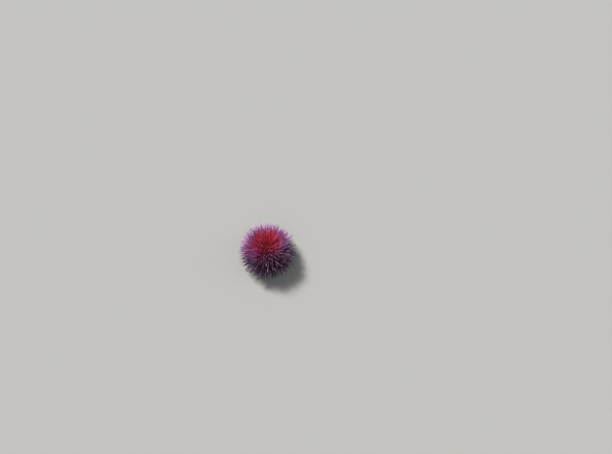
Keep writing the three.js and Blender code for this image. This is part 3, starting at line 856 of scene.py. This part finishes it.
def round_grid(first, last, rows, columns):
    """Points in rings round the axis, from the first distance to the last: how far out each is, its azimuth,
    and its place as seen from above."""
    spread, azimuth = np.meshgrid(np.linspace(first, last, rows), even_turns(columns), indexing="ij")
    return spread, azimuth, np.stack([spread * np.cos(azimuth), spread * np.sin(azimuth)], -1)


def turned_rings(distance, height, columns):
    """Rings round the axis from rows of distances and heights, each a number or a value for every column."""
    rows = zip(distance, height, strict=True)
    return np.stack([polar(across, even_turns(columns), up) for across, up in rows])[None]


def flat_patch(radius):
    """A flat map for a round piece, as seen along its axis: the share is the distance from the middle."""

    def place(form, turn, along):
        spokes = np.stack([np.cos(turn * 2 * math.pi), np.sin(turn * 2 * math.pi)], -1)
        return 0.5 + radius * along[..., None] * spokes

    return place


spread, spots = round_grid(TOP_OUTER, TOP_INNER, TOP_ROWS, TOP_COLUMNS)[::2]
fifth = even_turns(RAY_PAIRS)
plate_azimuth = np.concatenate([fifth, fifth + math.pi / RAY_PAIRS])
plate_distance = np.repeat([LARGE_PLATES_AT, SMALL_PLATES_AT], RAY_PAIRS)
plate_middles = polar(plate_distance, plate_azimuth, 0)[:, :2] - AXIS[:2]
nearest, to_joint = plated(spots, plate_middles, np.repeat([1.0, SMALL_PLATE_PULL], RAY_PAIRS))
pores = polar(PORE_AT, fifth, 0)[:, :2] - AXIS[:2]
to_pore = np.linalg.norm(spots[:, :, None] - pores, axis=-1).min(-1)
plate_rise = PLATE_RISE * smooth(to_joint, 0.00005, 0.0007)
swollen = (nearest == 0) * smooth(to_joint, 0, 0.0013)
top_surface = TOP_CREST - TOP_SLOPE * (spread - TOP_INNER) / (TOP_OUTER - TOP_INNER)
top_surface = top_surface + plate_rise + SIEVE_RISE * swollen - PORE_DEPTH * bell(to_pore, PORE_WIDTH)
top_distance = [TOP_OUTER, *spread[:, 0], TOP_INNER]
top_rings = turned_rings(top_distance, [TOP_FLOOR, *top_surface, TOP_FLOOR], TOP_COLUMNS)
top_shares = np.array([[1.0, *(spread[:, 0] / TOP_OUTER * 0.95), 0.3]])
edge_row = np.zeros((1, TOP_COLUMNS))
top_marks = {
    "sieve": np.concatenate([edge_row, swollen, edge_row]),
    "joint": np.concatenate([edge_row, 1 - smooth(to_joint, 0, 0.0004), edge_row]),
    "pore": np.concatenate([edge_row, bell(to_pore, 0.00022), edge_row]),
}
top_paint, start = new_paint("top_plate_paint")
mottle = start.noise(1500, detail=3)
colour = mottle.mix(DARK_PLATE, BRIGHT_PLATE)
colour = (start.mark("sieve") * 0.6).mix(colour, SIEVE_ROSE)
colour = (start.mark("joint") * 0.7).mix(colour, PLATE_JOINT)
# Painted shade in each pore's opening.
colour = start.mark("pore").mix(colour, PAINTED_PORE_SHADE)
sieve_holes = start.cells(7000).step(0.15, 0.4) * start.mark("sieve")
finish_paint(start, colour, 0.45, mottle * 0.5 + sieve_holes, depth=0.00012, Coat_Weight=0.2)
top_plates = add_forms("top_plates_skin", top_rings, None, top_shares, flat_patch(0.45), top_marks,
                       top_paint, "top_plates")
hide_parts("top_plates")

# Top spines: short crimson ones on the plates, two tall on each large plate and the rest low, leaning in
# over the vent. Each is fixed as the spines of the shell are.
TOP_SPINE = 0.009
TOP_SPINE_WIDTH = 0.00034
TOP_SPINE_TILT = 0.05
TALL_SPINES_TURN = 0.3
LOW_SPINES = 66
LOW_SPINES_FROM = 0.0028
LOW_SPINES_TO = 0.0056
LOW_SHARE = 0.48
golden = math.pi * (3 - math.sqrt(5))
low_azimuth = golden * np.arange(LOW_SPINES)
low_distance = np.sqrt(np.linspace(LOW_SPINES_FROM**2, LOW_SPINES_TO**2, LOW_SPINES))
azimuth = np.concatenate([fifth - TALL_SPINES_TURN, fifth + TALL_SPINES_TURN, low_azimuth])
distance = np.concatenate([np.full(2 * RAY_PAIRS, LARGE_PLATES_AT), low_distance])
is_low = np.arange(len(azimuth)) >= 2 * RAY_PAIRS
height = TOP_SPINE * np.where(is_low, LOW_SHARE, 1.0) * dice.uniform(0.8, 1.12, len(azimuth))
lean = np.where(is_low, -0.0014 * smooth(0.0062 - distance, 0, 0.003), 0.0007)
place = polar(distance, azimuth, TOP_CREST)
tip = polar(distance + lean + 0.0006 * dice.uniform(-1, 1, len(azimuth)), azimuth, SHELL_TOP + height)
width = TOP_SPINE_WIDTH * np.where(is_low, 0.75, 1.0)
forms = shafts(place, tip, width, SECOND_PROFILE, sides=7)
grow("top_spines", TOP_SPINE_TILT, azimuth, forms, second_paint, "top_plates")

# Vent: a soft lid of skin inside the ring of top plates, set with small limy grains. It is domed a little,
# with a raised opening off the middle.
VENT_RADIUS = 0.0023
VENT_INNER = 0.00006
VENT_COLUMNS = 120
VENT_ROWS = 34
VENT_DOME = 0.0004
VENT_AT = np.array([0.00045, 0.0002])
VENT_RIM = 0.0006
HOLE_DEPTH = 0.0007
HOLE_WIDTH = 0.00022
GRAINS = 22
GRAIN_RISE = 0.00014
DARK_LID = (0.20, 0.016, 0.030)
BRIGHT_LID = (0.36, 0.060, 0.075)
LID_JOINT = (0.08, 0.006, 0.014)
PAINTED_HOLE_SHADE = (0.02, 0.003, 0.005)

vent_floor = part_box("vent")[0].z
spread, spots = round_grid(VENT_RADIUS, VENT_INNER, VENT_ROWS, VENT_COLUMNS)[::2]
grain = np.arange(GRAINS)
grain_r = VENT_RADIUS * np.sqrt((grain + 0.5) / GRAINS)
grains = np.stack([grain_r * np.cos(grain * golden), grain_r * np.sin(grain * golden)], -1)
to_joint = plated(spots, grains + dice.uniform(-0.0001, 0.0001, grains.shape))[1]
to_vent = np.linalg.norm(spots - VENT_AT, axis=-1)
vent_surface = SHELL_TOP + VENT_DOME * (1 - (spread / VENT_RADIUS) ** 2)
vent_surface = vent_surface + GRAIN_RISE * smooth(to_joint, 0, 0.0003)
vent_surface = vent_surface + VENT_RIM * bell(to_vent, VENT_RIM) - HOLE_DEPTH * bell(to_vent, HOLE_WIDTH)
vent_rings = turned_rings([VENT_RADIUS, *spread[:, 0]], [vent_floor, *vent_surface], VENT_COLUMNS)
vent_ends = np.array([[polar(0, 0, vent_floor), polar(0, 0, vent_surface[-1].mean())]])
vent_shares = np.array([[1.0, *(spread[:, 0] / VENT_RADIUS * 0.95)]])


def lid_mark(values):
    """A mark for the lid's own rows, and 0 for its lower edge and its two poles."""
    return np.concatenate([np.zeros(VENT_COLUMNS), values.ravel(), [0, 0]])


vent_marks = {"joint": lid_mark(1 - smooth(to_joint, 0, 0.00022)), "hole": lid_mark(bell(to_vent, 0.00026))}
vent_paint, start = new_paint("vent_paint")
mottle = start.noise(2500, detail=3)
colour = mottle.mix(DARK_LID, BRIGHT_LID)
colour = (start.mark("joint") * 0.7).mix(colour, LID_JOINT)
# Painted shade inside the vent's opening.
colour = start.mark("hole").mix(colour, PAINTED_HOLE_SHADE)
finish_paint(start, colour, 0.4, mottle, depth=0.00008, Coat_Weight=0.3)
vent = add_forms("vent_lid", vent_rings, vent_ends, vent_shares, flat_patch(0.45), vent_marks, vent_paint,
                 "vent")
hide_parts("vent")

# Mouth skin: soft moist skin across the opening of the shell on the mouth side, joined to its edge. It is
# folded into a lip round the teeth and wrinkled further out.
LIP_INNER = 0.0027
MOUTH_SKIN = 0.0014
MOUTH_UNDER = MOUTH_TOP - MOUTH_SKIN
MOUTH_OUTER = MOUTH_EDGE + 0.0001
MOUTH_LIFT = 0.0005
LIP_AT = 0.0036
LIP_WIDE = 0.0009
LIP_DEPTH = 0.0008
LIP_FOLDS = 36
WRINKLE_DEPTH = 0.00002
MOUTH_COLUMNS = 288
MOUTH_ROWS = 90
DARK_MOUTH = (0.12, 0.030, 0.055)
BRIGHT_MOUTH = (0.23, 0.070, 0.095)
LIP_ROSE = (0.38, 0.13, 0.14)
FOLD_PINK = (0.55, 0.30, 0.27)

spread, angle = round_grid(LIP_INNER, MOUTH_OUTER, MOUTH_ROWS, MOUTH_COLUMNS)[:2]
lip = bell(spread - LIP_AT, LIP_WIDE)
folds = 0.5 + 0.5 * np.cos(LIP_FOLDS * angle + 1.2 * np.sin(5 * angle))
wrinkles = np.cos(9000 * spread + 2.2 * np.sin(5 * angle) + 1.3 * np.sin(11 * angle + 2))
wrinkles = wrinkles * smooth(spread, 0.0045, 0.006) * (0.6 + 0.4 * np.sin(23 * angle + 1500 * spread))
mouth_surface = MOUTH_UNDER - LIP_DEPTH * lip * (0.7 + 0.3 * folds) - WRINKLE_DEPTH * wrinkles
mouth_surface = mouth_surface + MOUTH_LIFT * smooth(spread, 0.0085, MOUTH_RADIUS)
mouth_distance = [MOUTH_OUTER, LIP_INNER, *spread[:, 0]]
mouth_rings = turned_rings(mouth_distance, [MOUTH_TOP, MOUTH_TOP, *mouth_surface], MOUTH_COLUMNS)
mouth_shares = np.array([[0.98, 0.1, *(spread[:, 0] / MOUTH_OUTER)]])
edge_rows = np.zeros((2, MOUTH_COLUMNS))
mouth_marks = {"lip": np.concatenate([edge_rows, lip]), "fold": np.concatenate([edge_rows, folds * lip])}
mouth_paint, start = new_paint("mouth_skin_paint")
mottle = start.noise(1200, detail=4)
colour = mottle.mix(DARK_MOUTH, BRIGHT_MOUTH)
colour = (start.mark("lip") * 0.7).mix(colour, LIP_ROSE)
colour = (start.mark("fold") * 0.3).mix(colour, FOLD_PINK)
finish_paint(start, colour, 0.42, mottle + 0.6 * start.cells(2200), depth=0.00016, Coat_Weight=0.25)
mouth_skin = add_forms("mouth_lid", mouth_rings, None, mouth_shares, flat_patch(0.47), mouth_marks,
                       mouth_paint, "mouth_skin")
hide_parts("mouth_skin")

# Mouth feet: ten stubby tube feet for taste, in pairs round the lip. They are of the same soft skin as the
# other tube feet, and end in a small disc.
TASTE_FEET_AT = 0.0055
TASTE_FEET_WIDTH = 0.0004
TASTE_FEET_TILT = 3.0
PAIR_TURN = 0.12
mouth_number = np.arange(2 * RAY_PAIRS)
azimuth = math.pi * (mouth_number + 0.5) / RAY_PAIRS + np.where(mouth_number % 2, -PAIR_TURN, PAIR_TURN)
place = polar(TASTE_FEET_AT, azimuth, MOUTH_UNDER + 0.0003)
tip = polar(TASTE_FEET_AT + 0.0002, azimuth, MOUTH_UNDER - 0.0016)
corners = np.stack([place, place * 0.7 + tip * 0.3, place * 0.3 + tip * 0.7, tip], 1)
stubby_profile = [(share, 1 + 0.25 * (wide - 1)) for share, wide in FOOT_PROFILE]
forms = bent_tubes(corners, stubby_profile, np.full(len(azimuth), TASTE_FEET_WIDTH), sides=12)
grow("mouth_feet", TASTE_FEET_TILT, azimuth, forms, foot_paint, "mouth_skin")

# Gills: ten tufts of thin-walled lobes at the edge of the mouth skin, which the animal breathes with. The
# lobes of a tuft grow side by side and spread towards their ends.
GILL_LOBES = 8
GILL_AT = 0.0080
GILL_FALL = 0.0026
GILL_WIDTH = 0.0003
GILL_TILT = 2.9
GILL_PROFILE = [(0.0, 0.0, 0.8), (0.0, 0.25, 0.7), (0.0, 0.5, 1.0), (0.0, 0.75, 1.05), (0.0, 0.92, 0.7)]
GILL_ROOT = (0.24, 0.05, 0.08)
GILL_TIP = (0.46, 0.20, 0.20)
lobe_number = np.arange(2 * RAY_PAIRS * GILL_LOBES)
lobe = lobe_number % GILL_LOBES - (GILL_LOBES - 1) / 2
azimuth = math.pi * (lobe_number // GILL_LOBES + 0.5) / RAY_PAIRS
place = polar(GILL_AT, azimuth + 0.012 * lobe, MOUTH_UNDER + 0.0003)
fall = GILL_FALL * (1 - 0.03 * lobe**2) * dice.uniform(0.7, 1.0, len(lobe))
reach = GILL_AT + 0.0006 + 0.0005 * dice.uniform(-1, 1, len(lobe))
tip = polar(reach, azimuth + 0.034 * lobe, MOUTH_UNDER - fall)
forms = shafts(place, tip, GILL_WIDTH * dice.uniform(0.8, 1.1, len(lobe)), GILL_PROFILE, sides=8)
gill_paint, start = new_paint("gill_paint")
colour = start.around_and_along()[1].step(0.1, 0.9).mix(GILL_ROOT, GILL_TIP)
finish_paint(start, colour, 0.35, start.noise(5000, detail=3), depth=0.00006, Coat_Weight=0.4)
grow("gills", GILL_TILT, azimuth, forms, gill_paint, "mouth_skin")

# Teeth: five ivory chisels, wider than thick and thinned towards the point. They slide out of the jaws and
# meet in the middle of the mouth.
TOOTH_RINGS = 14
TOOTH_SIDES = 12
TOOTH_WIDTH = 0.00066
TOOTH_THICKNESS = 0.00042
TOOTH_TILT = 3.1
TOOTH_ROOT = (0.70, 0.60, 0.44)
TOOTH_IVORY = (0.88, 0.85, 0.76)
tooth_low, tooth_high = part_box("teeth")
JAW_BOTTOM = tooth_high.z - 0.0019
azimuth = 2 * math.pi * (np.arange(RAY_PAIRS) + 0.5) / RAY_PAIRS
t = np.linspace(0, 1, TOOTH_RINGS)[None, :, None]
root = polar(0.00125, azimuth, JAW_BOTTOM + 0.0008)[:, None]
knee = polar(0.0019, azimuth, JAW_BOTTOM - 0.0011)[:, None]
tip = polar(0.00026, azimuth, tooth_low.z)[:, None]
line = (1 - t) ** 2 * root + 2 * t * (1 - t) * knee + t**2 * tip
way = unit((1 - t) * (knee - root) + t * (tip - knee))
aside = np.stack([-np.sin(azimuth), np.cos(azimuth), 0 * azimuth], -1)[:, None]
angle = even_turns(TOOTH_SIDES)
wide = TOOTH_WIDTH * (1 - 0.62 * t**1.6)
thick = TOOTH_THICKNESS * (1 - 0.8 * t**1.3)
width = (np.abs(np.cos(angle) / wide) ** 3 + np.abs(np.sin(angle) / thick) ** 3) ** (-1 / 3)
tooth_rings = rings_along(line, way, aside, width, TOOTH_SIDES)
tooth_shares = np.broadcast_to(t[..., 0], (RAY_PAIRS, TOOTH_RINGS))
tooth_paint, start = new_paint("tooth_paint")
colour = start.around_and_along()[1].step(0.2, 0.9).mix(TOOTH_ROOT, TOOTH_IVORY)
finish_paint(start, colour, 0.28, start.noise(6000), depth=0.00002, Coat_Weight=0.3)
forms = (tooth_rings, line[:, [0, -1]], tooth_shares)
teeth = grow("tooth_tips", TOOTH_TILT, azimuth, forms, tooth_paint, "teeth")
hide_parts("teeth")

# Jaw ends: the lower ends of five limy wedges that stand side by side and hold the teeth. A narrow groove
# parts each from the next.
JAW_RADIUS = 0.0024
JAW_INNER = 0.0001
JAW_ROWS = 30
JAW_COLUMNS = 120
JAW_POINT = 0.0007
JAW_GROOVE_DEPTH = 0.0006
JAW_GROOVE_WIDTH = 0.00014
DARK_JAW = (0.38, 0.20, 0.17)
BRIGHT_JAW = (0.62, 0.48, 0.38)
spread, angle = round_grid(JAW_INNER, JAW_RADIUS, JAW_ROWS, JAW_COLUMNS)[:2]
off_groove = np.abs((angle / (2 * math.pi / RAY_PAIRS) + 0.5) % 1 - 0.5) * 2 * math.pi / RAY_PAIRS
groove = bell(spread * off_groove, JAW_GROOVE_WIDTH) * smooth(spread, 0, 0.0005)
jaw_surface = JAW_BOTTOM - JAW_POINT * (1 - spread / JAW_RADIUS) ** 0.7 * smooth(spread, 0, 0.0004)
jaw_surface = jaw_surface + JAW_GROOVE_DEPTH * groove
jaw_rings = turned_rings([*spread[:, 0], JAW_RADIUS], [*jaw_surface, tooth_high.z], JAW_COLUMNS)
jaw_ends = np.array([[polar(0, 0, jaw_surface[0].mean()), polar(0, 0, tooth_high.z)]])
jaw_shares = np.array([[*(spread[:, 0] / JAW_RADIUS * 0.9), 0.95]])
jaw_paint, start = new_paint("jaw_paint")
mottle = start.noise(3000, detail=3)
finish_paint(start, mottle.mix(DARK_JAW, BRIGHT_JAW), 0.5, mottle, depth=0.00005, Coat_Weight=0.2)
add_forms("jaw_ends", jaw_rings, jaw_ends, jaw_shares, flat_patch(0.45), {}, jaw_paint, "teeth")
